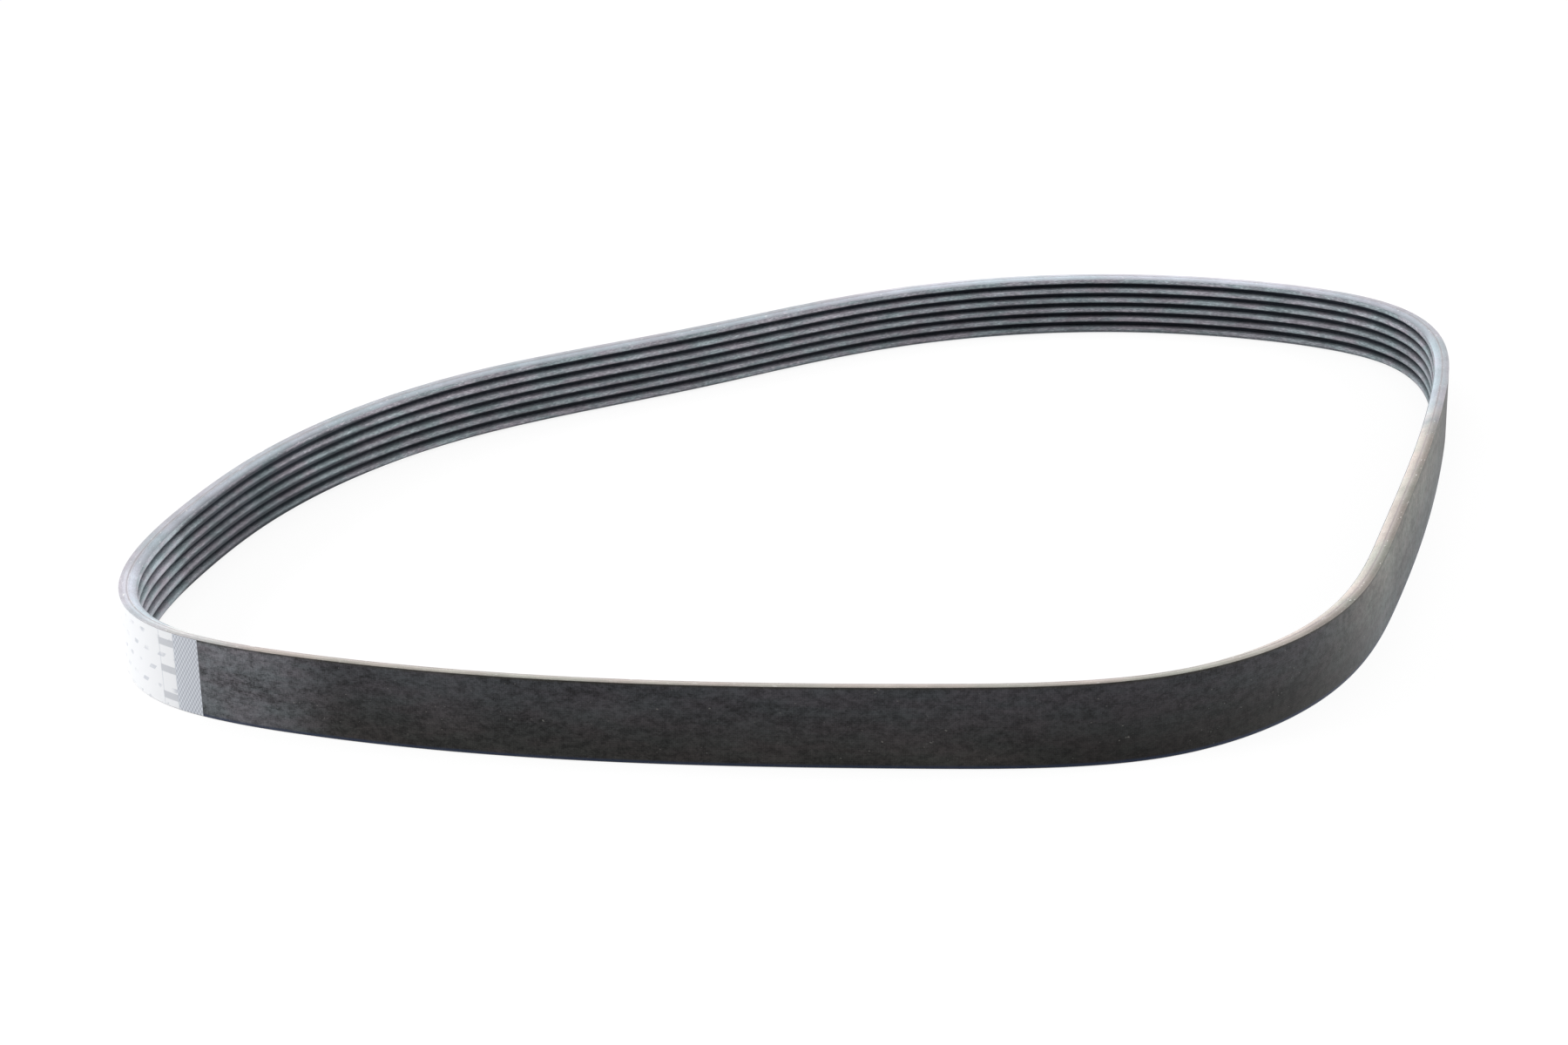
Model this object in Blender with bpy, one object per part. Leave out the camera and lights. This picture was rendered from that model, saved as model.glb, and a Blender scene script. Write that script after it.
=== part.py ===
"""Serpentine belt with six V-ribs, standing on its cut edge as a loose closed loop.

The belt is one endless moulding: a smooth back over the cord line, with V-ribs
running along the inside of the loop. Its cross-section is drawn flat, as depth
in from the back and height up from the resting edge, and is then swept once
round a smooth closed path. Metres, +Z up, the origin in the middle of the loop
on the surface that the belt stands on.
"""

import math

import bmesh
import bpy
import numpy as np

MM = 0.001
FULL_TURN = 2 * math.pi

# Rib profile, the standard K section of automotive multi-ribbed belts
RIB_COUNT = 6
RIB_PITCH = 3.56 * MM
GROOVE_ANGLE = math.radians(40)
GROOVE_ROOT_WIDTH = 0.5 * MM
RIB_DEPTH = 2.3 * MM
RIB_TIP_RADIUS = 0.4 * MM

# Flat part of the belt, from its back to the roots of the grooves
BACK_THICKNESS = 2.5 * MM

# The edges are cut along a groove, this far inside the groove's centre line
EDGE_TRIM = 0.08 * MM

# Length round the outside of the back
BELT_LENGTH = 1310 * MM

# Printed field on the back: its middle, measured along the belt from the first
# anchor, and its length. It runs round the sharp bend at the loop's left end.
LABEL_MIDDLE = -20.5 * MM
LABEL_LENGTH = 79 * MM

# The loop as it lies loose, seen from above and anticlockwise from its front left.
# Each anchor is a point of the back at the resting edge: x and y in millimetres,
# and how far the belt leans outwards there, in degrees.
LOOP_ANCHORS = (
    (-185, -164, 3),
    (-142, -189, 2),
    (11, -211, -1),
    (70, -204, -3),
    (110, -172, 0),
    (148, -91, -4),
    (189, 56, -1),
    (185, 176, 0),
    (138, 205, 0),
    (89, 212, 0),
    (21, 193, 0),
    (-56, 134, 0),
    (-127, 76, 0),
    (-180, -13, 0),
    (-193, -62, 1),
)

# How finely the belt is faceted: facets in all, sides to each rounded corner,
# samples of the path, and how much closer the sections stand in a bend
FACET_BUDGET = 11800
CORNER_SIDES = 2
PATH_SAMPLES = 3000
BEND_EMPHASIS = 2.0

RUBBER_COLOUR = (0.045, 0.045, 0.05, 1.0)
RUBBER_ROUGHNESS = 0.75
LABEL_COLOUR = (0.6, 0.6, 0.68, 1.0)
LABEL_ROUGHNESS = 0.6
SHARP_ANGLE = math.radians(25)


def remove_all_objects():
    for item in list(bpy.data.objects):
        bpy.data.objects.remove(item, do_unlink=True)


def make_material(name, colour, roughness):
    material = bpy.data.materials.new(name)
    material.use_nodes = True
    shader = material.node_tree.nodes["Principled BSDF"]
    shader.inputs["Base Color"].default_value = colour
    shader.inputs["Roughness"].default_value = roughness
    shader.inputs["Metallic"].default_value = 0.0
    return material


def rounded_corner(before, corner, after, radius):
    """Points of the arc that rounds a corner between its two neighbours."""
    corner = np.array(corner)
    towards_before = np.array(before) - corner
    towards_after = np.array(after) - corner
    towards_before /= np.linalg.norm(towards_before)
    towards_after /= np.linalg.norm(towards_after)
    half_angle = math.acos(towards_before @ towards_after) / 2
    middle = towards_before + towards_after
    middle /= np.linalg.norm(middle)
    centre = corner + middle * radius / math.sin(half_angle)
    reach = radius / math.tan(half_angle)
    start = corner + towards_before * reach - centre
    across = corner + towards_after * reach - centre
    sweep = math.pi - 2 * half_angle
    points = []
    for i in range(CORNER_SIDES + 1):
        angle = sweep * i / CORNER_SIDES
        share_start = math.sin(sweep - angle) / math.sin(sweep)
        share_across = math.sin(angle) / math.sin(sweep)
        points.append(tuple(centre + share_start * start + share_across * across))
    return points


def belt_section():
    """The cross-section as (depth, height) points, in order round the belt.

    It starts at the back's lower corner, crosses the lower cut edge, climbs
    the ribs and comes back across the upper cut edge. The last side, from the
    last point to the first, is the smooth back.
    """
    width = RIB_COUNT * RIB_PITCH - 2 * EDGE_TRIM
    half_root = (RIB_PITCH - GROOVE_ROOT_WIDTH) / 2
    half_tip = half_root - RIB_DEPTH * math.tan(GROOVE_ANGLE / 2)
    tip_depth = BACK_THICKNESS + RIB_DEPTH
    points = [(0.0, 0.0), (BACK_THICKNESS, 0.0)]
    for rib in range(RIB_COUNT):
        centre = (rib + 0.5) * RIB_PITCH - EDGE_TRIM
        lower_root = (BACK_THICKNESS, centre - half_root)
        lower_tip = (tip_depth, centre - half_tip)
        upper_tip = (tip_depth, centre + half_tip)
        upper_root = (BACK_THICKNESS, centre + half_root)
        points.append(lower_root)
        points += rounded_corner(lower_root, lower_tip, upper_tip, RIB_TIP_RADIUS)
        points += rounded_corner(lower_tip, upper_tip, upper_root, RIB_TIP_RADIUS)
        points.append(upper_root)
    points.append((BACK_THICKNESS, width))
    points.append((0.0, width))
    return points


def closed_spline_slopes(knots, values):
    """Slopes that make a closed cubic through the values smooth to its curvature."""
    spans = np.diff(knots)
    count = len(spans)
    matrix = np.zeros((count, count))
    right_side = np.zeros_like(values)
    for i in range(count):
        before, after = spans[i - 1], spans[i]
        following = (i + 1) % count
        matrix[i, i - 1] = after
        matrix[i, i] = 2 * (before + after)
        matrix[i, following] = before
        rise_before = (values[i] - values[i - 1]) / before
        rise_after = (values[following] - values[i]) / after
        right_side[i] = 3 * (after * rise_before + before * rise_after)
    return np.linalg.solve(matrix, right_side)


def sample_loop():
    """Fine samples of the path, rows of x, y and lean, at the belt's real length."""
    anchors = np.array(LOOP_ANCHORS, dtype=float)
    anchors[:, :2] *= MM
    anchors[:, 2] = np.radians(anchors[:, 2])
    chords = np.roll(anchors[:, :2], -1, axis=0) - anchors[:, :2]
    knots = np.concatenate([[0.0], np.cumsum(np.hypot(*chords.T))])
    slopes = closed_spline_slopes(knots, anchors)

    parameter = np.linspace(0.0, knots[-1], PATH_SAMPLES, endpoint=False)
    start = np.searchsorted(knots, parameter, side="right") - 1
    end = (start + 1) % len(anchors)
    span = (knots[start + 1] - knots[start])[:, None]
    t = (parameter - knots[start])[:, None] / span
    samples = (
        (2 * t**3 - 3 * t**2 + 1) * anchors[start]
        + (t**3 - 2 * t**2 + t) * span * slopes[start]
        + (3 * t**2 - 2 * t**3) * anchors[end]
        + (t**3 - t**2) * span * slopes[end]
    )
    steps = np.roll(samples[:, :2], -1, axis=0) - samples[:, :2]
    samples[:, :2] *= BELT_LENGTH / np.hypot(*steps.T).sum()
    return samples


def label_ends():
    """Distances along the belt at which the printed field starts and ends."""
    start = (LABEL_MIDDLE - LABEL_LENGTH / 2) % BELT_LENGTH
    end = (LABEL_MIDDLE + LABEL_LENGTH / 2) % BELT_LENGTH
    return start, end


def place_stations(samples, count):
    """Plan position, inward direction, lean and distance along the belt of each section.

    The sections stand closer together in the bends, and the two nearest to the
    printed field's ends are moved onto them.
    """
    steps = np.roll(samples[:, :2], -1, axis=0) - samples[:, :2]
    step_lengths = np.hypot(*steps.T)
    distances = np.concatenate([[0.0], np.cumsum(step_lengths)])
    headings = np.unwrap(np.arctan2(steps[:, 1], steps[:, 0]))
    bending = np.abs(np.gradient(headings)) / step_lengths
    even_bending = FULL_TURN / BELT_LENGTH
    weights = step_lengths * (1.0 + BEND_EMPHASIS * np.sqrt(bending / even_bending))
    progress = np.concatenate([[0.0], np.cumsum(weights)]) / weights.sum()

    places = np.interp(np.arange(count) / count, progress, distances)
    for end in label_ends():
        places[np.argmin(np.abs(places - end))] = end

    closed = np.vstack([samples, samples[:1]])
    x, y, lean = [np.interp(places, distances, column) for column in closed.T]
    middles = distances[:-1] + step_lengths / 2
    middles = np.concatenate([[middles[-1] - distances[-1]], middles, [middles[0] + distances[-1]]])
    headings = np.concatenate([[headings[-1] - FULL_TURN], headings, [headings[0] + FULL_TURN]])
    heading = np.interp(places, middles, headings)
    plan = np.column_stack([x, y])
    inward = np.column_stack([-np.sin(heading), np.cos(heading)])
    return plan, inward, lean, places


def sweep_section(section, plan, inward, lean):
    """Rings of 3D points, one for each station, set about the middle of the loop."""
    depths, heights = np.array(section).T
    rings = np.empty((len(plan), len(section), 3))
    for i in range(len(plan)):
        offsets = depths - heights * math.tan(lean[i])
        rings[i, :, :2] = plan[i] + offsets[:, None] * inward[i]
        rings[i, :, 2] = heights
    low = rings.min(axis=(0, 1))
    high = rings.max(axis=(0, 1))
    rings[:, :, :2] -= (low[:2] + high[:2]) / 2
    return rings


def build_belt():
    section = belt_section()
    sides = len(section)
    back = sides - 1
    count = FACET_BUDGET // (2 * sides)
    plan, inward, lean, places = place_stations(sample_loop(), count)
    rings = sweep_section(section, plan, inward, lean)
    label_start, label_end = label_ends()
    label_first = int(np.argmin(np.abs(places - label_start)))
    label_last = int(np.argmin(np.abs(places - label_end)))
    label_spans = (label_last - label_first) % count

    shape = bmesh.new()
    corners = [[shape.verts.new(point) for point in ring] for ring in rings]
    for i in range(count):
        here, there = corners[i], corners[(i + 1) % count]
        printed = (i - label_first) % count < label_spans
        for side in range(sides):
            after = (side + 1) % sides
            face = shape.faces.new((here[side], here[after], there[after], there[side]))
            face.material_index = 1 if printed and side == back else 0
    bmesh.ops.recalc_face_normals(shape, faces=shape.faces)

    mesh = bpy.data.meshes.new("ribbed_belt")
    shape.to_mesh(mesh)
    shape.free()
    mesh.shade_smooth()
    mesh.set_sharp_from_angle(angle=SHARP_ANGLE)
    mesh.materials.append(make_material("belt_rubber", RUBBER_COLOUR, RUBBER_ROUGHNESS))
    mesh.materials.append(make_material("label_print", LABEL_COLOUR, LABEL_ROUGHNESS))
    belt = bpy.data.objects.new("ribbed_belt", mesh)
    bpy.context.scene.collection.objects.link(belt)


remove_all_objects()
build_belt()
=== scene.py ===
"""Looks of the serpentine belt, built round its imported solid.

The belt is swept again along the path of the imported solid, with the same section
drawn finer: round rib tips and roots, eased corners on the back, and the cord
line in the cut edges. The printed label is a thin skin on the back. Sizes are in
metres here, and millimetres inside the materials.
"""

import math

import bpy
import numpy as np
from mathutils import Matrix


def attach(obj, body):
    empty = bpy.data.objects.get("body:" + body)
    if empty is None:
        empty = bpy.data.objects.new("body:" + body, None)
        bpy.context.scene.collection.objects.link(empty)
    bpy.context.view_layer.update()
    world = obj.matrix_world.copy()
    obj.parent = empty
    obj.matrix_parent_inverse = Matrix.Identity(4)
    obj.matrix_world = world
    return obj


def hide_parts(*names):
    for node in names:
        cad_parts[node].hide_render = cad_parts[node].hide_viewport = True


MM = 0.001
FULL_TURN = 2 * math.pi
NODE = "ribbed_belt"

# How near to a level a point of the solid counts as on it, and the decimals that tell two
# points apart
TOUCH = 0.02 * MM
PLACE_DECIMALS = 7

# Rib profile, the same as the solid's
RIB_COUNT = 6
RIB_PITCH = 3.56 * MM
GROOVE_ANGLE = math.radians(40)
GROOVE_ROOT_WIDTH = 0.5 * MM
RIB_DEPTH = 2.3 * MM
RIB_TIP_RADIUS = 0.4 * MM

# What is drawn finer than in the solid, whose roots and back corners are sharp and whose
# round tips have fewer sides
ROOT_RADIUS = 0.12 * MM
BACK_CORNER_RADIUS = 0.15 * MM
TIP_SIDES = 4
ROOT_SIDES = 2
BACK_CORNER_SIDES = 3
FLANK_POINTS = 2
BACK_POINTS = 8
STATIONS = 628
NEAREST_STATIONS = 4 * STATIONS

# Cord line in the cut edges, between two fine grooves: its middle in from the back, its
# half width, the slope outside each groove, how deep the grooves are cut and how far they
# wander. Both vary in waves, counted in one turn of the loop, and the depth by a share of
# itself, between a least and a most
CORD_DEPTH = 2.12 * MM
CORD_HALF_WIDTH = 0.13 * MM
CORD_GAP = 0.08 * MM
CORD_RECESS = 0.05 * MM
CORD_WANDER = 0.04 * MM
CORD_WANDER_WAVES = (7, 16, 29, 61, 97)
CORD_RECESS_WAVES = (11, 37, 83, 149, 211)
CORD_RECESS_CHANGE = 0.6
CORD_RECESS_LEAST = 0.1
CORD_RECESS_MOST = 2.0

# Printed label: the plan place of its right end, its length, how far it stays from the cut
# edges, and how far its skin stands out of the back and reaches into it
LABEL_END = (-170.3 * MM, -176.5 * MM)
LABEL_LENGTH = 79 * MM
LABEL_MARGIN = 0.2 * MM
LABEL_PROUD = 0.045 * MM
LABEL_SUNK = 0.03 * MM
LABEL_STATIONS = 90
LABEL_ROWS = 24

# What is printed on it, in millimetres: how far its hatched band and its bars reach from the
# right end, the spacing of the band's hatching along and up, that of the bars and the
# height of the lowest one, the spacing of the rows of dashes, how far these are shifted
# down, and the spacing of the dashes in a row
LABEL_BAND = 8.2
LABEL_BAR_END = 14.0
HATCH_PITCH = 1.1
HATCH_RISE = 1.6
LABEL_BAR_PITCH = 7.4
LABEL_BAR_FOOT = 3.1
LABEL_DASH_RISE = 4.6
LABEL_DASH_SHIFT = 0.8
LABEL_DASH_PITCH = 6.5

# Plan places of the middle of each stretch that looks different from the rest: the back with a painted
# sheen and with painted shade, the edges with a painted warm light, a painted highlight where they are
# brightest, painted light at the left end, painted shading, and painted light in the right bend, and the
# ribs with painted shade, painted light at the left end and painted light in the right bend
BACK_PAINTED_SHEEN = (160 * MM, -50 * MM)
BACK_PAINTED_SHADE = (98 * MM, -184 * MM)
EDGE_WARM_LIGHT = (74 * MM, -202 * MM)
EDGE_GLEAM = (89 * MM, 212 * MM)
EDGE_END_PAINTED_LIGHT = (-190 * MM, -156 * MM)
EDGE_PAINTED_SHADING = (168 * MM, -30 * MM)
EDGE_BEND_PAINTED_LIGHT = (193 * MM, 77 * MM)
RIB_PAINTED_SHADE = (-186 * MM, -34 * MM)
RIB_END_PAINTED_LIGHT = (-199 * MM, -116 * MM)
RIB_BEND_PAINTED_LIGHT = (192 * MM, 102 * MM)

# Camera at the photograph's place, which is a frame of 1800 by 1200 pixels
CAMERA_PLACE = (-22.61 * MM, -957.5 * MM, 305.78 * MM)
CAMERA_PITCH = math.radians(18)
CAMERA_LENS = 75.58
SENSOR_WIDTH = 36

# Floor: half its side, how far it lies below the belt, its grey, and the share and strength
# of the glow that lifts it to white for the camera
FLOOR_HALF = 8.0
FLOOR_DROP = 0.15 * MM
FLOOR_GREY = 0.42
FLOOR_GLOW_SHARE = 0.62
FLOOR_GLOW_STRENGTH = 1.4

# Strength of the world as a light and as the white that the camera sees
WORLD_LIGHT = 0.45
WORLD_SEEN = 1.0

# Lamps: the name, place, aim, size and power in watts of each
SOFTBOXES = (
    ("overhead", (0.0, 0.1, 1.8), (0, 0, 0), (2.0, 2.0), 9),
    ("left", (-1.7, -0.3, 0.7), (-0.1, -0.1, 0), (1.4, 1.0), 28),
    ("right", (1.7, 0.1, 0.7), (0.1, 0, 0), (1.4, 1.0), 20),
)

# Faces of the section, and the angle from which the edge between two faces is drawn sharp
BACK = 0
EDGE = 1
RIB = 2
SHARP_ANGLE = math.radians(28)

# The map for baking: its rows, the margin round each, and a nudge past rounding at their ends
MAP_ROWS = 4
MAP_MARGIN = 0.006
MAP_NUDGE = 1e-6


def closed_spline_slopes(knots, values):
    """Slopes that make a closed cubic through the values smooth to its curvature."""
    spans = np.diff(knots)
    count = len(spans)
    matrix = np.zeros((count, count))
    right_side = np.zeros_like(values)
    for i in range(count):
        before, after = spans[i - 1], spans[i]
        following = (i + 1) % count
        matrix[i, i - 1] = after
        matrix[i, i] = 2 * (before + after)
        matrix[i, following] = before
        rise_before = (values[i] - values[i - 1]) / before
        rise_after = (values[following] - values[i]) / after
        right_side[i] = 3 * (after * rise_before + before * rise_after)
    return np.linalg.solve(matrix, right_side)


def back_corners(level):
    """Of the points at one level of the solid, those on its back, each with its partner.

    The partner is the point straight inward from it, where the ribs start. It
    is the nearest other point, and lies nearer to the middle of the loop.
    """
    gaps = np.linalg.norm(level[:, None] - level[None], axis=2)
    np.fill_diagonal(gaps, np.inf)
    partners = level[gaps.argmin(axis=1)]
    on_back = np.linalg.norm(level, axis=1) > np.linalg.norm(partners, axis=1)
    return level[on_back], partners[on_back]


class BeltPath:
    """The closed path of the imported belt, and the place of any point of its section."""

    def __init__(self, node):
        places = np.array([vertex.co for vertex in node.data.vertices])
        places = np.unique(np.round(places, PLACE_DECIMALS), axis=0)
        foot, inner = back_corners(places[places[:, 2] < TOUCH][:, :2])
        self.width = places[:, 2].max()
        self.back_thickness = np.linalg.norm(inner - foot, axis=1).mean()
        top, _ = back_corners(places[places[:, 2] > self.width - TOUCH][:, :2])

        order = np.argsort(np.arctan2(foot[:, 1], foot[:, 0]))
        foot, inner = foot[order], inner[order]
        above = top[np.linalg.norm(foot[:, None] - top[None], axis=2).argmin(axis=1)]
        inward = (inner - foot) / self.back_thickness
        slant = -((above - foot) * inward).sum(axis=1) / self.width

        self.values = np.column_stack([foot, slant])
        chords = np.roll(foot, -1, axis=0) - foot
        self.knots = np.concatenate([[0.0], np.cumsum(np.hypot(*chords.T))])
        self.slopes = closed_spline_slopes(self.knots, self.values)
        self.length = self.knots[-1]

    def at(self, distances):
        """Plan place of the back's foot, inward direction and slant at these distances."""
        distances = np.mod(distances, self.length)
        start = np.searchsorted(self.knots, distances, side="right") - 1
        end = (start + 1) % len(self.values)
        span = (self.knots[start + 1] - self.knots[start])[:, None]
        t = (distances - self.knots[start])[:, None] / span
        first, last = self.values[start], self.values[end]
        leave, arrive = self.slopes[start] * span, self.slopes[end] * span
        value = (2 * t**3 - 3 * t**2 + 1) * first + (t**3 - 2 * t**2 + t) * leave
        value += (3 * t**2 - 2 * t**3) * last + (t**3 - t**2) * arrive
        rate = (6 * t**2 - 6 * t) * (first - last) + (3 * t**2 - 4 * t + 1) * leave
        rate += (3 * t**2 - 2 * t) * arrive
        heading = rate[:, :2] / np.linalg.norm(rate[:, :2], axis=1)[:, None]
        inward = np.column_stack([-heading[:, 1], heading[:, 0]])
        return value[:, :2], inward, value[:, 2]

    def place(self, distances, depths, heights):
        """Points in space, a row for each distance; depths and heights are rows or one for all."""
        plan, inward, slant = self.at(distances)
        offsets = depths - heights * slant[:, None]
        points = np.empty((*offsets.shape, 3))
        points[..., :2] = plan[:, None] + offsets[..., None] * inward[:, None]
        points[..., 2] = heights
        return points

    def nearest(self, point):
        """Distance along the belt at which its back is nearest to a plan point."""
        distances = np.linspace(0.0, self.length, NEAREST_STATIONS, endpoint=False)
        plan, _, _ = self.at(distances)
        return distances[np.linalg.norm(plan - np.array(point), axis=1).argmin()]


def rounded_corner(before, corner, after, radius, sides):
    """Points of the arc that rounds a corner between its two neighbours."""
    corner = np.array(corner)
    towards_before = np.array(before) - corner
    towards_after = np.array(after) - corner
    towards_before /= np.linalg.norm(towards_before)
    towards_after /= np.linalg.norm(towards_after)
    half_angle = math.acos(towards_before @ towards_after) / 2
    middle = towards_before + towards_after
    middle /= np.linalg.norm(middle)
    centre = corner + middle * radius / math.sin(half_angle)
    reach = radius / math.tan(half_angle)
    start = corner + towards_before * reach - centre
    across = corner + towards_after * reach - centre
    sweep = math.pi - 2 * half_angle
    points = []
    for i in range(sides + 1):
        angle = sweep * i / sides
        share_start = math.sin(sweep - angle) / math.sin(sweep)
        share_across = math.sin(angle) / math.sin(sweep)
        points.append(tuple(centre + share_start * start + share_across * across))
    return points


def between(first, last, count):
    """Points that divide a straight side evenly, without its ends."""
    shares = np.arange(1, count + 1) / (count + 1)
    return [tuple(np.array(first) + share * (np.array(last) - first)) for share in shares]


def edge_trim(width):
    """How much of the outermost rib's pitch each cut edge takes away."""
    return (RIB_COUNT * RIB_PITCH - width) / 2


def edge_depths(back_thickness):
    """Depths of the points across a cut edge, and whether each is in the cord line's grooves."""
    near = CORD_DEPTH - CORD_HALF_WIDTH
    far = CORD_DEPTH + CORD_HALF_WIDTH
    return (
        (near / 2, 0),
        (near - CORD_GAP, 0),
        (near, 1),
        (CORD_DEPTH, 0),
        (far, 1),
        (far + CORD_GAP, 0),
        (back_thickness, 0),
    )


def fine_section(width, back_thickness):
    """The section's (depth, height) points in order, the kinds of face after them and their recesses.

    It starts above the back's lower corner and runs like the solid's section:
    across the lower cut edge, up the ribs, back across the upper cut edge, and
    down the smooth back.
    """
    trim = edge_trim(width)
    half_root = (RIB_PITCH - GROOVE_ROOT_WIDTH) / 2
    half_tip = half_root - RIB_DEPTH * math.tan(GROOVE_ANGLE / 2)
    tip_depth = back_thickness + RIB_DEPTH
    points, kinds, recesses = [], [], []

    def add(new_points, kind, recess=0):
        points.extend(new_points)
        kinds.extend([kind] * len(new_points))
        recesses.extend([recess] * len(new_points))

    foot, foot_end = (0.0, 0.0), (back_thickness, 0.0)
    head, head_end = (0.0, width), (back_thickness, width)
    add(rounded_corner(head, foot, foot_end, BACK_CORNER_RADIUS, BACK_CORNER_SIDES), EDGE)
    for depth, grooved in edge_depths(back_thickness):
        add([(depth, 0.0)], EDGE, grooved)
    for rib in range(RIB_COUNT):
        centre = (rib + 0.5) * RIB_PITCH - trim
        lower_side = (back_thickness, centre - RIB_PITCH / 2)
        lower_root = (back_thickness, centre - half_root)
        lower_tip = (tip_depth, centre - half_tip)
        upper_tip = (tip_depth, centre + half_tip)
        upper_root = (back_thickness, centre + half_root)
        upper_side = (back_thickness, centre + RIB_PITCH / 2)
        into_rib = rounded_corner(lower_side, lower_root, lower_tip, ROOT_RADIUS, ROOT_SIDES)
        lower_round = rounded_corner(lower_root, lower_tip, upper_tip, RIB_TIP_RADIUS, TIP_SIDES)
        upper_round = rounded_corner(lower_tip, upper_tip, upper_root, RIB_TIP_RADIUS, TIP_SIDES)
        out_of_rib = rounded_corner(upper_tip, upper_root, upper_side, ROOT_RADIUS, ROOT_SIDES)
        lower_kind = EDGE if rib == 0 else RIB
        upper_kind = EDGE if rib == RIB_COUNT - 1 else RIB
        add(into_rib, lower_kind)
        add(between(into_rib[-1], lower_round[0], FLANK_POINTS), lower_kind)
        add(lower_round, RIB)
        add(upper_round[:-1], RIB)
        add(upper_round[-1:], upper_kind)
        add(between(upper_round[-1], out_of_rib[0], FLANK_POINTS), upper_kind)
        add(out_of_rib, upper_kind)
    for depth, grooved in reversed(edge_depths(back_thickness)):
        add([(depth, width)], EDGE, -grooved)
    round_top = rounded_corner(head_end, head, foot, BACK_CORNER_RADIUS, BACK_CORNER_SIDES)
    add(round_top, EDGE)
    kinds[-1] = BACK
    add(between(round_top[-1], points[0], BACK_POINTS), BACK)
    return np.array(points), np.array(kinds), np.array(recesses)


def wander(distances, length, cycles, seed):
    """A smooth irregular line round the loop, from about -1 to 1, with no seam."""
    random = np.random.default_rng(seed)
    phases = random.uniform(0, FULL_TURN, len(cycles))
    waves = [np.sin(FULL_TURN * n * distances / length + p) for n, p in zip(cycles, phases)]
    return np.sum(waves, axis=0) / math.sqrt(len(cycles))


def grid_faces(rows, columns, rows_close):
    """Quads of a grid whose columns close on themselves, and whose rows may."""
    row = np.arange(rows if rows_close else rows - 1)
    column = np.arange(columns)
    row, column = [part.ravel() for part in np.meshgrid(row, column, indexing="ij")]
    below, right = (row + 1) % rows, (column + 1) % columns
    faces = np.column_stack([
        row * columns + column,
        row * columns + right,
        below * columns + right,
        below * columns + column,
    ])
    return faces, row, column


def new_mesh(name, points, faces):
    mesh = bpy.data.meshes.new(name)
    mesh.from_pydata(points.reshape(-1, 3), [], faces.tolist())
    mesh.shade_smooth()
    mesh.set_sharp_from_angle(angle=SHARP_ANGLE)
    return mesh


def store_places(mesh, name, corners):
    """Keeps a vector for each corner of each face, for the materials to read."""
    attribute = mesh.attributes.new(name, "FLOAT_VECTOR", "CORNER")
    attribute.data.foreach_set("vector", corners.astype(np.float32).ravel())


def store_map(mesh, corners):
    """The map that the materials can be baked through."""
    layer = mesh.uv_layers.new(name="OFBake")
    layer.data.foreach_set("uv", corners.astype(np.float32).ravel())


def place_in_scene(mesh):
    piece = bpy.data.objects.new(mesh.name, mesh)
    bpy.context.scene.collection.objects.link(piece)
    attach(piece, "root")
    return piece


def belt_map(along, across):
    """Lays the belt's surface out as rows, each a stretch of the loop, side by side."""
    row = (along.min(axis=1) * MAP_ROWS + MAP_NUDGE).astype(int)
    row = np.minimum(row, MAP_ROWS - 1)[:, None]
    u = MAP_MARGIN + (1 - 2 * MAP_MARGIN) * (along * MAP_ROWS - row)
    v = (row + MAP_MARGIN + (1 - 2 * MAP_MARGIN) * across) / MAP_ROWS
    return np.dstack([u, v])


def build_belt(path, materials):
    section, kinds, recesses = fine_section(path.width, path.back_thickness)
    distances = path.length * np.arange(STATIONS) / STATIONS
    depths = np.repeat(section[None, :, 0], STATIONS, axis=0)
    heights = np.repeat(section[None, :, 1], STATIONS, axis=0)
    sway = wander(distances, path.length, CORD_WANDER_WAVES, seed=3)
    cut = 1 + CORD_RECESS_CHANGE * wander(distances, path.length, CORD_RECESS_WAVES, seed=8)
    cut = np.clip(cut, CORD_RECESS_LEAST, CORD_RECESS_MOST)
    depths += np.outer(CORD_WANDER * sway, np.abs(recesses))
    heights += np.outer(CORD_RECESS * cut, recesses)
    points = path.place(distances, depths, heights)

    faces, row, column = grid_faces(STATIONS, len(section), True)
    mesh = new_mesh("ribbed_belt_surface", points, faces)
    for material in materials:
        mesh.materials.append(material)
    mesh.polygons.foreach_set("material_index", kinds[column].astype(np.int32))

    here, there = path.length * row / STATIONS, path.length * (row + 1) / STATIONS
    corner_distance = np.column_stack([here, here, there, there])
    after = (column + 1) % len(section)
    corner_column = np.column_stack([column, after, after, column])
    store_places(mesh, "belt_place", np.dstack([
        corner_distance,
        section[corner_column, 1],
        section[corner_column, 0],
    ]))
    sides = np.roll(section, -1, axis=0) - section
    around = np.concatenate([[0.0], np.cumsum(np.hypot(*sides.T))])
    around /= around[-1]
    start, end = around[column], around[column + 1]
    corner_around = np.column_stack([start, end, end, start])
    store_map(mesh, belt_map(corner_distance / path.length, corner_around))
    belt = place_in_scene(mesh)
    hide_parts(NODE)
    return belt


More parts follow.
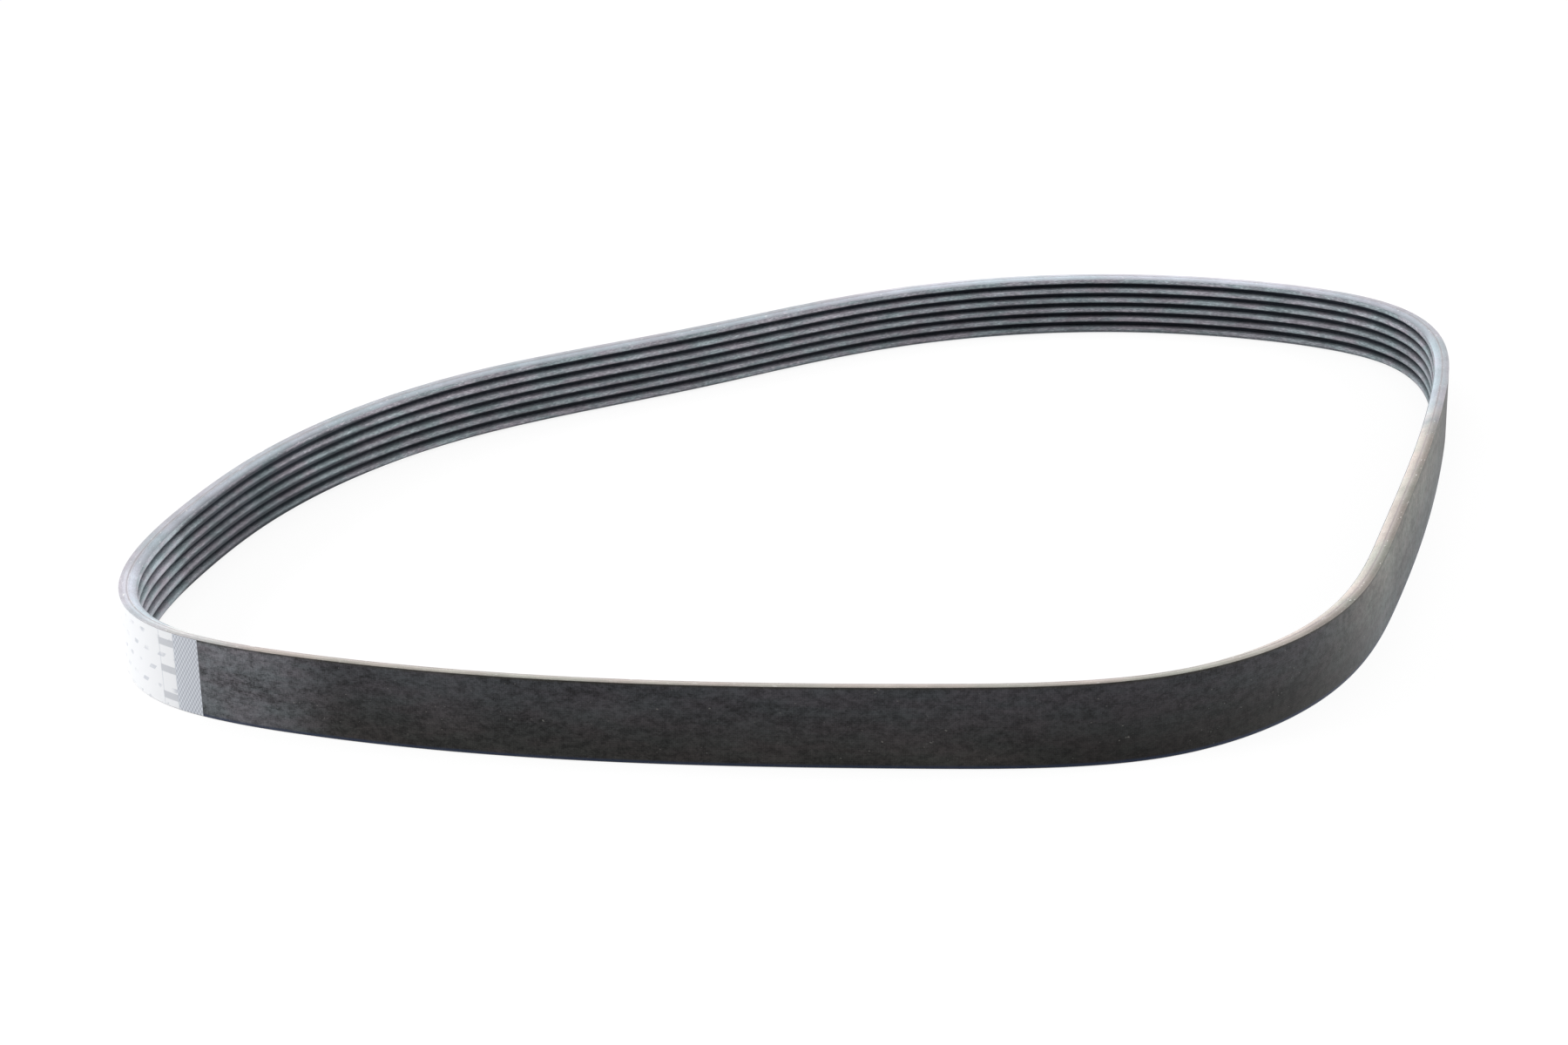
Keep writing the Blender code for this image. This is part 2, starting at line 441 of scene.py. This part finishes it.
def build_label(path, material):
    """A thin closed skin: up over its face, and back down inside the belt's back."""
    end = path.nearest(LABEL_END)
    distances = np.linspace(end - LABEL_LENGTH, end, LABEL_STATIONS)
    rise = np.linspace(LABEL_MARGIN, path.width - LABEL_MARGIN, LABEL_ROWS)
    heights = np.concatenate([rise, rise[::-1]])
    depths = np.repeat([LABEL_SUNK, -LABEL_PROUD], LABEL_ROWS)
    points = path.place(distances, depths[None], heights[None])
    faces, row, column = grid_faces(LABEL_STATIONS, len(heights), False)
    count = len(heights)
    first = [[i, i + 1, count - 2 - i, count - 1 - i] for i in range(LABEL_ROWS - 1)]
    last = [[count * (LABEL_STATIONS - 1) + i for i in reversed(face)] for face in first]
    all_faces = np.vstack([faces, np.array(first)[:, ::-1], np.array(last)[:, ::-1]])
    mesh = new_mesh("printed_label", points, all_faces)
    mesh.materials.append(material)
    along = np.repeat(distances - end, count)
    up = np.tile(heights, LABEL_STATIONS)
    proud = np.tile(depths, LABEL_STATIONS)
    store_places(mesh, "label_place", np.dstack([along[all_faces], up[all_faces], proud[all_faces]]))
    return place_in_scene(mesh)


class Shader:
    """A material, with short ways to add and join its nodes."""

    def __init__(self, name):
        self.material = bpy.data.materials.new(name)
        self.material.use_nodes = True
        self.tree = self.material.node_tree
        self.surface = self.tree.nodes["Principled BSDF"]

    def join(self, socket, value):
        if isinstance(value, bpy.types.NodeSocket):
            self.tree.links.new(value, socket)
        else:
            socket.default_value = value

    def node(self, kind, settings=None, **inputs):
        """Adds a node. A key is an input's name, with _ for a space."""
        made = self.tree.nodes.new(kind)
        for name, value in (settings or {}).items():
            setattr(made, name, value)
        for name, value in inputs.items():
            self.join(made.inputs[name.replace("_", " ")], value)
        return made

    def math(self, operation, *values):
        made = self.tree.nodes.new("ShaderNodeMath")
        made.operation = operation
        for socket, value in zip(made.inputs, values):
            self.join(socket, value)
        return made.outputs[0]

    def range(self, value, low, high, start=0.0, end=1.0):
        """Eases value from low to high into start to end."""
        made = self.node(
            "ShaderNodeMapRange", {"interpolation_type": "SMOOTHSTEP"},
            Value=value, From_Min=low, From_Max=high, To_Min=start, To_Max=end,
        )
        return made.outputs[0]

    def where(self, share, value, otherwise=1.0):
        """One number where share is 1, easing to the other where it is 0."""
        return self.range(share, 0.0, 1.0, otherwise, value)

    def mix(self, share, first, second):
        made = self.tree.nodes.new("ShaderNodeMix")
        made.data_type = "RGBA"
        self.join(made.inputs["Factor"], share)
        self.join(made.inputs[6], first)
        self.join(made.inputs[7], second)
        return made.outputs[2]

    def scale_colour(self, shade, share):
        made = self.tree.nodes.new("ShaderNodeVectorMath")
        made.operation = "SCALE"
        self.join(made.inputs[0], shade)
        self.join(made.inputs["Scale"], share)
        return made.outputs[0]

    def read(self, name):
        """The three numbers stored for each point of the surface, in millimetres."""
        stored = self.node("ShaderNodeAttribute", {"attribute_name": name})
        split = self.node("ShaderNodeSeparateXYZ", Vector=stored.outputs["Vector"])
        return [self.math("DIVIDE", part, MM) for part in split.outputs]

    def noise(self, vector, size, depth=0.0, detail=2.0, roughness=0.55):
        made = self.node(
            "ShaderNodeTexNoise", {"noise_dimensions": "4D"},
            Vector=vector, W=depth, Scale=1 / size, Detail=detail, Roughness=roughness,
        )
        return made.outputs[0]

    def bump(self, height, distance, strength=1.0):
        made = self.node("ShaderNodeBump", Height=height, Distance=distance, Strength=strength)
        return made.outputs[0]

    def finish(self, **inputs):
        for name, value in inputs.items():
            self.join(self.surface.inputs[name.replace("_", " ")], value)
        return self.material


def colour(red, green, blue):
    return (red, green, blue, 1.0)


class BeltShader(Shader):
    """A material that knows its place on the belt: along, up and in from the back."""

    def __init__(self, name, path):
        super().__init__(name)
        self.path = path
        self.length = path.length / MM
        self.along, self.up, self.depth = self.read("belt_place")
        self.turn = self.math("MULTIPLY", self.along, FULL_TURN / self.length)
        self.cosine = self.math("COSINE", self.turn)
        self.sine = self.math("SINE", self.turn)

    def streaked(self, stretch, rise=1.0):
        """A place for noise that is drawn out along the belt and meets itself round the loop."""
        radius = self.length / FULL_TURN / stretch
        made = self.node(
            "ShaderNodeCombineXYZ",
            X=self.math("MULTIPLY", self.cosine, radius),
            Y=self.math("MULTIPLY", self.sine, radius),
            Z=self.math("MULTIPLY", self.up, rise),
        )
        return made.outputs[0]

    def deeper(self, rate):
        """A fourth number for noise, which makes it change in from the back."""
        return self.math("MULTIPLY", self.depth, rate)

    def ripple(self, along_pitch, up_pitch):
        """A wave that repeats in whole numbers round the loop, from -1 to 1."""
        turns = round(self.length / along_pitch)
        along = self.math("MULTIPLY", self.along, FULL_TURN * turns / self.length)
        up = self.math("MULTIPLY", self.up, FULL_TURN / up_pitch)
        return self.math("SINE", self.math("ADD", along, up))

    def near(self, place, flat, reach, shift=0.0):
        """1 on the belt within flat of a plan place, easing to 0 at a reach from it, either way.

        A shift that varies over the surface makes its ends ragged.
        """
        middle = self.path.nearest(place) / MM
        away = self.math("SUBTRACT", self.turn, FULL_TURN * middle / self.length)
        closeness = self.math("ADD", self.math("COSINE", away), shift)
        outside = math.cos(FULL_TURN * reach / self.length)
        inside = math.cos(FULL_TURN * flat / self.length)
        return self.range(closeness, outside, inside)

    def tinted(self, shade, size, strength):
        """Lets a colour drift between a faint teal and a faint mauve."""
        drift = self.noise(self.streaked(4), size, self.deeper(0.4), detail=3)
        teal = colour(1 - 0.05 * strength, 1 + 0.015 * strength, 1 + 0.01 * strength)
        mauve = colour(1 + 0.05 * strength, 1 - 0.015 * strength, 1 + 0.01 * strength)
        tint = self.mix(self.range(drift, 0.35, 0.65), teal, mauve)
        made = self.node("ShaderNodeVectorMath", {"operation": "MULTIPLY"})
        self.join(made.inputs[0], shade)
        self.join(made.inputs[1], tint)
        return made.outputs[0]


def back_material(path):
    """Smooth dark back: mottled rubber with the twill of its mould cloth, a little lint, and painted
    light and shade.
    """
    shader = BeltShader("belt_back", path)
    mottle = shader.noise(shader.streaked(1.8), 1.6, detail=4, roughness=0.75)
    clouds = shader.noise(shader.streaked(3), 11.0, detail=2)
    grain = shader.noise(shader.streaked(1.3), 0.5, detail=2, roughness=0.7)
    streaks = shader.noise(shader.streaked(12), 2.4, detail=3)
    twill = shader.math("MULTIPLY", shader.ripple(1.05, -1.05), shader.ripple(1.05, 1.05))
    # Painted sheen: on the right strand the back is lighter and olive, with streaks, where it is seen at
    # a grazing angle
    painted_sheen = shader.near(BACK_PAINTED_SHEEN, 50, 135)
    tone = shader.range(mottle, 0.36, 0.64, 0.6, 1.4)
    tone = shader.math("ADD", tone, shader.range(clouds, 0.35, 0.65, -0.2, 0.2))
    tone = shader.math("ADD", tone, shader.range(grain, 0.3, 0.7, -0.28, 0.28))
    tone = shader.math("MULTIPLY_ADD", twill, 0.18, tone)
    tone = shader.math("MULTIPLY_ADD", painted_sheen, shader.range(streaks, 0.3, 0.7, -0.25, 0.25), tone)
    # Painted light from above: each colour of the back is lighter towards the top
    rise = shader.range(shader.up, 0.0, path.width / MM)
    ordinary = shader.mix(rise, colour(0.034, 0.032, 0.030), colour(0.050, 0.050, 0.055))
    sheen_lit = shader.mix(rise, colour(0.062, 0.070, 0.074), colour(0.118, 0.117, 0.104))
    # Painted light: beside the label's end the back is lighter, where light from the left falls
    painted_shading = shader.mix(rise, colour(0.09, 0.093, 0.10), colour(0.115, 0.115, 0.125))
    base = shader.mix(painted_sheen, ordinary, sheen_lit)
    base = shader.mix(shader.near(LABEL_END, 5, 42), base, painted_shading)
    # Painted shade: near the front strand's right end the back is darker, most at the bottom
    back_painted_shade = shader.range(shader.up, 0.0, path.width / MM, 0.6, 0.88)
    back_painted_shade = shader.where(shader.near(BACK_PAINTED_SHADE, 25, 90), back_painted_shade)
    base = shader.scale_colour(base, shader.math("MULTIPLY", tone, back_painted_shade))
    base = shader.tinted(base, 4.0, 1.0)
    base = shader.mix(shader.range(shader.up, 20.2, 20.9, 0.0, 0.6), base, colour(0.032, 0.028, 0.02))
    specks = shader.noise(shader.streaked(1.8), 0.6, depth=40.0, detail=1)
    base = shader.mix(shader.range(specks, 0.72, 0.80, 0.0, 0.5), base, colour(0.30, 0.29, 0.27))
    base = shader.mix(shader.range(shader.up, 0.3, 1.2, 0.85, 0.0), base, colour(0.028, 0.042, 0.085))
    return shader.finish(
        Base_Color=base,
        Roughness=shader.range(grain, 0.2, 0.8, 0.5, 0.62),
        Specular_IOR_Level=0.15,
        Sheen_Weight=0.2,
        Sheen_Roughness=0.35,
        Normal=shader.bump(shader.math("MULTIPLY_ADD", twill, 0.25, grain), 0.03 * MM, 0.8),
    )


def edge_material(path):
    """Cut edge and the slope beside it: pale and fibrous, with the fine line of the cords, and painted
    light and shade.
    """
    shader = BeltShader("belt_cut_edge", path)
    fibres = shader.noise(shader.streaked(4), 0.35, shader.deeper(2.5), detail=4, roughness=0.65)
    patches = shader.noise(shader.streaked(2), 5.0, shader.deeper(0.3), detail=2)
    # Painted light: the edges take a warm tint round the front and right and a cool one elsewhere, for
    # the colour of the light
    warm_light = shader.near(EDGE_WARM_LIGHT, 220, 285, shader.range(patches, 0.3, 0.7, -0.04, 0.04))
    outer = shader.mix(warm_light, colour(0.455, 0.46, 0.495), colour(0.35, 0.33, 0.295))
    inner = shader.mix(warm_light, colour(0.465, 0.51, 0.56), colour(0.70, 0.66, 0.60))
    ground = shader.mix(shader.range(shader.depth, 0.4, 2.6), outer, inner)
    shade = shader.math(
        "ADD", shader.range(fibres, 0.25, 0.75, 0.8, 1.16), shader.range(patches, 0.3, 0.7, -0.08, 0.08)
    )
    # Painted light: at the left end the edge is lighter, most towards the ribs, where light from the
    # left falls
    painted_lift = shader.range(shader.depth, 0.6, 2.2, 1.15, 1.58)
    painted_lift = shader.where(shader.near(EDGE_END_PAINTED_LIGHT, 15, 50), painted_lift)
    # Painted light: the edge is lighter in the right bend
    painted_light = shader.where(shader.near(EDGE_BEND_PAINTED_LIGHT, 25, 70), 1.25)
    painted_lift = shader.math("MULTIPLY", painted_lift, painted_light)
    gleam = shader.range(shader.depth, 2.3, 3.4, 1.5, 1.15)
    gleam = shader.where(shader.near(EDGE_GLEAM, 20, 120), gleam)
    # Painted shading on the right strand: the edge is darker at its outer side and lighter towards the
    # ribs, as lit from the left
    painted_shading = shader.near(EDGE_PAINTED_SHADING, 135, 175)
    outer_shade = shader.where(painted_shading, 0.7)
    # Painted shade and light: the edge darkens towards the top rib, more where the tint is cool and on
    # the left strand, and lightens there on the right strand
    tip_shade = shader.where(warm_light, 0.95, 0.68)
    # Painted shade: on the left strand the top rib's flank is darker towards its tip
    painted_tip_shade = shader.where(shader.near(RIB_PAINTED_SHADE, 10, 80), 0.65)
    tip_shade = shader.where(painted_shading, 1.1, shader.math("MULTIPLY", tip_shade, painted_tip_shade))
    shade = shader.math("MULTIPLY", shader.math("MULTIPLY", shade, painted_lift), gleam)
    shade = shader.math("MULTIPLY", shade, shader.range(shader.depth, 0.5, 5.0, outer_shade, 1.0))
    shade = shader.math("MULTIPLY", shade, shader.range(shader.depth, 2.9, 4.7, 1.0, tip_shade))
    ground = shader.tinted(shader.scale_colour(ground, shade), 6.0, 0.9)
    away = shader.math("ABSOLUTE", shader.math("SUBTRACT", shader.depth, CORD_DEPTH / MM))
    base = shader.mix(shader.range(away, 0.2, 0.8, 0.3, 0.0), ground, colour(0.47, 0.42, 0.41))
    base = shader.mix(shader.range(away, 0.10, 0.30, 0.5, 0.0), base, colour(0.33, 0.29, 0.31))
    specks = shader.noise(shader.streaked(3.5), 0.6, shader.deeper(1.2), detail=1)
    base = shader.mix(shader.range(specks, 0.68, 0.76, 0.0, 0.8), base, colour(0.86, 0.86, 0.85))
    return shader.finish(
        Base_Color=base,
        Roughness=0.72,
        Specular_IOR_Level=0.3,
        Normal=shader.bump(fibres, 0.08 * MM, 0.7),
    )


def rib_material(path):
    """Ribs: dark at the roots and paler out to the ground tips, with fibres along the belt, and painted
    light and shade.
    """
    shader = BeltShader("belt_ribs", path)
    rise = shader.math("SUBTRACT", shader.depth, path.back_thickness / MM)
    rise = shader.math("DIVIDE", rise, RIB_DEPTH / MM)
    fibres = shader.noise(shader.streaked(7), 0.22, shader.deeper(4.0), detail=3, roughness=0.65)
    patches = shader.noise(shader.streaked(3), 4.0, detail=2)
    wear_and_shade = shader.math("ADD", rise, shader.range(fibres, 0.3, 0.7, -0.1, 0.1))
    wear_and_shade = shader.math("MINIMUM", shader.math("MAXIMUM", wear_and_shade, 0.0), 1.0)
    share = shader.math("ADD", shader.up, edge_trim(path.width) / MM)
    share = shader.math("DIVIDE", share, RIB_PITCH / MM)
    share = shader.math("FRACT", share)
    # Painted light: the ribs are lighter at the left end, and the left strand's painted shade stops
    # short of it
    painted_light = shader.near(RIB_END_PAINTED_LIGHT, 10, 45)
    # Painted shade and highlight: on the left strand the ribs are darker and lit only along their upper
    # corners, as they face away from the light
    rib_painted_shade = shader.near(RIB_PAINTED_SHADE, 10, 95)
    rib_painted_shade = shader.math("MULTIPLY", rib_painted_shade, shader.math("SUBTRACT", 1.0, painted_light))
    # Each rib is a little darker from the middle of its tip upward
    plain = shader.math("POWER", wear_and_shade, 1.7)
    plain = shader.math("MULTIPLY", plain, shader.range(share, 0.52, 0.72, 1.0, 0.8))
    wear_and_shade = shader.where(rib_painted_shade, shader.range(wear_and_shade, 0.33, 0.9), plain)
    # Painted shade: the lower part of each tip is darker, down to its lower corner, more so on the left
    # strand, as the light falls from above
    lower_shade_start = shader.math("MULTIPLY_ADD", rib_painted_shade, 0.2, 0.26)
    lower_shade_end = shader.math("MULTIPLY_ADD", rib_painted_shade, 0.3, 0.46)
    lower = shader.math("MULTIPLY_ADD", rib_painted_shade, -0.1, 0.12)
    wear_and_shade = shader.math("MULTIPLY", wear_and_shade, shader.range(share, lower_shade_start, lower_shade_end, lower, 1.0))
    # Painted shade: the ribs are darkest in the middle of that stretch, with a darker tip colour and
    # fewer light fibres
    deepest_painted_shade = shader.near(RIB_PAINTED_SHADE, 5, 45)
    # The root colour is dark rubber with the shade of the grooves painted in
    root = shader.mix(rib_painted_shade, colour(0.004, 0.007, 0.014), colour(0.028, 0.034, 0.043))
    tip = shader.mix(deepest_painted_shade, colour(0.26, 0.275, 0.30), colour(0.18, 0.19, 0.21))
    base = shader.mix(wear_and_shade, root, tip)
    # Painted light: the ribs are lighter in the right bend, which faces the light from the left
    base = shader.scale_colour(base, shader.where(shader.near(RIB_BEND_PAINTED_LIGHT, 15, 50), 1.3))
    base = shader.scale_colour(base, shader.where(painted_light, 1.65))
    fluff = shader.range(fibres, 0.46, 0.66, 0.0, shader.where(deepest_painted_shade, 0.7))
    base = shader.mix(shader.math("MULTIPLY", wear_and_shade, fluff), base, colour(0.52, 0.55, 0.58))
    base = shader.scale_colour(base, shader.range(patches, 0.3, 0.7, 0.82, 1.18))
    # Painted light from above: the ribs are lighter towards the top
    base = shader.scale_colour(base, shader.range(shader.up, 0.0, path.width / MM, 0.82, 1.12))
    base = shader.tinted(base, 3.5, 1.8)
    return shader.finish(
        Base_Color=base,
        Roughness=0.6,
        Specular_IOR_Level=0.2,
        Normal=shader.bump(fibres, 0.05 * MM, 0.6),
    )


def label_material():
    """Pale print: a hatched band at the right end, grey bars up to a line, then faint dashes."""
    shader = Shader("label_print")
    along, up, _ = shader.read("label_place")
    inward = shader.math("MULTIPLY", along, -1.0)

    def wave(first, second, pitch):
        turn = shader.math("MULTIPLY", shader.math("ADD", first, second), FULL_TURN / pitch)
        return shader.math("SINE", turn)

    in_band = shader.range(inward, LABEL_BAND, LABEL_BAND + 0.6, 1.0, 0.0)
    hatch = shader.math("MULTIPLY", wave(inward, 0.0, HATCH_PITCH), wave(up, 0.0, HATCH_RISE))
    hatch = shader.math("MULTIPLY", hatch, in_band)
    band = shader.mix(shader.range(hatch, -0.8, 0.8), colour(0.38, 0.40, 0.45), colour(0.64, 0.67, 0.72))
    white = colour(0.80, 0.81, 0.83)
    bars = shader.range(wave(up, LABEL_BAR_PITCH / 4 - LABEL_BAR_FOOT, LABEL_BAR_PITCH), 0.6, 0.75)
    before_line = shader.range(inward, LABEL_BAR_END, LABEL_BAR_END + 0.4, 1.0, 0.0)
    bars = shader.math("MULTIPLY", bars, before_line)
    from_line = shader.math("ABSOLUTE", shader.math("SUBTRACT", inward, LABEL_BAR_END))
    line = shader.range(from_line, 0.08, 0.24, 0.5, 0.0)
    dash_row = shader.range(wave(up, LABEL_DASH_SHIFT, LABEL_DASH_RISE), 0.6, 0.8)
    dashes = shader.range(wave(inward, up, LABEL_DASH_PITCH), 0.1, 0.35)
    dashes = shader.math("MULTIPLY", dash_row, dashes)
    place = shader.node("ShaderNodeCombineXYZ", X=inward, Y=up, Z=0.0).outputs[0]
    wash = shader.noise(place, 5.0, detail=2)
    dashes = shader.math("MULTIPLY", dashes, shader.range(wash, 0.42, 0.62, 0.0, 0.8))
    printed = shader.mix(dashes, white, colour(0.50, 0.52, 0.57))
    printed = shader.mix(line, printed, colour(0.50, 0.52, 0.58))
    printed = shader.mix(shader.math("MULTIPLY", bars, 0.85), printed, colour(0.49, 0.505, 0.54))
    base = shader.mix(in_band, printed, band)
    return shader.finish(
        Base_Color=base,
        Roughness=0.6,
        Specular_IOR_Level=0.35,
        Normal=shader.bump(hatch, 0.03 * MM, 0.5),
    )


def background_rays(tree):
    """1 for the rays that show the background: seen, mirrored or through glass. 0 for light."""
    path = tree.nodes.new("ShaderNodeLightPath")
    seen = path.outputs["Is Camera Ray"]
    for ray in ("Is Glossy Ray", "Is Transmission Ray"):
        larger = tree.nodes.new("ShaderNodeMath")
        larger.operation = "MAXIMUM"
        tree.links.new(seen, larger.inputs[0])
        tree.links.new(path.outputs[ray], larger.inputs[1])
        seen = larger.outputs[0]
    return seen


def floor_material():
    """Pale floor. The camera sees it lifted to white, with the belt's soft shadow."""
    shader = Shader("floor")
    nodes, links = shader.tree.nodes, shader.tree.links
    grey = colour(FLOOR_GREY, FLOOR_GREY, FLOOR_GREY)
    shader.finish(Base_Color=grey, Roughness=1.0, Specular_IOR_Level=0.0)
    glow = nodes.new("ShaderNodeEmission")
    glow.inputs["Strength"].default_value = FLOOR_GLOW_STRENGTH
    mixed = nodes.new("ShaderNodeMixShader")
    share = shader.math("MULTIPLY", background_rays(shader.tree), FLOOR_GLOW_SHARE)
    links.new(share, mixed.inputs["Fac"])
    links.new(shader.surface.outputs[0], mixed.inputs[1])
    links.new(glow.outputs[0], mixed.inputs[2])
    links.new(mixed.outputs[0], nodes["Material Output"].inputs["Surface"])
    return shader.material


def build_floor():
    signs = ((-1, -1), (1, -1), (1, 1), (-1, 1))
    corners = [(x * FLOOR_HALF, y * FLOOR_HALF, -FLOOR_DROP) for x, y in signs]
    mesh = bpy.data.meshes.new("floor")
    mesh.from_pydata(corners, [], [(0, 1, 2, 3)])
    mesh.materials.append(floor_material())
    floor = bpy.data.objects.new("floor", mesh)
    bpy.context.scene.collection.objects.link(floor)


def add_softbox(name, place, aim, size, power):
    lamp = bpy.data.lights.new(name, "AREA")
    lamp.shape = "RECTANGLE"
    lamp.size, lamp.size_y = size
    lamp.energy = power
    holder = bpy.data.objects.new(name, lamp)
    bpy.context.scene.collection.objects.link(holder)
    away = np.array(place) - np.array(aim)
    tilt = math.atan2(math.hypot(away[0], away[1]), away[2])
    turn = math.atan2(away[0], -away[1])
    holder.location = place
    holder.rotation_euler = (tilt, 0, turn)


def light_scene():
    world = bpy.data.worlds.new("studio")
    bpy.context.scene.world = world
    world.use_nodes = True
    tree = world.node_tree
    sky = tree.nodes["Background"]
    sky.inputs["Color"].default_value = colour(1, 1, 1)
    strength = tree.nodes.new("ShaderNodeMapRange")
    strength.inputs["To Min"].default_value = WORLD_LIGHT
    strength.inputs["To Max"].default_value = WORLD_SEEN
    tree.links.new(background_rays(tree), strength.inputs["Value"])
    tree.links.new(strength.outputs[0], sky.inputs["Strength"])
    for softbox in SOFTBOXES:
        add_softbox(*softbox)


def add_camera():
    lens = bpy.data.cameras.new("camera")
    lens.lens = CAMERA_LENS
    lens.sensor_width = SENSOR_WIDTH
    camera = bpy.data.objects.new("camera", lens)
    camera.location = CAMERA_PLACE
    camera.rotation_euler = (math.pi / 2 - CAMERA_PITCH, 0, 0)
    bpy.context.scene.collection.objects.link(camera)
    bpy.context.scene.camera = camera


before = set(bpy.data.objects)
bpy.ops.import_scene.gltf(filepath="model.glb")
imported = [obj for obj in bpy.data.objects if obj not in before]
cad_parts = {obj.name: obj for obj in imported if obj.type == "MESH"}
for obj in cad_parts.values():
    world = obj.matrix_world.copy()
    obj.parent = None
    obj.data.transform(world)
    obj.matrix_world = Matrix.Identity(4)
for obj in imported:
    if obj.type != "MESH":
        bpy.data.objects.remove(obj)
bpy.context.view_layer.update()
add_camera()
belt_path = BeltPath(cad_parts[NODE])
build_belt(belt_path, (back_material(belt_path), edge_material(belt_path), rib_material(belt_path)))
build_label(belt_path, label_material())
build_floor()
light_scene()
bpy.context.scene.view_settings.view_transform = "Standard"
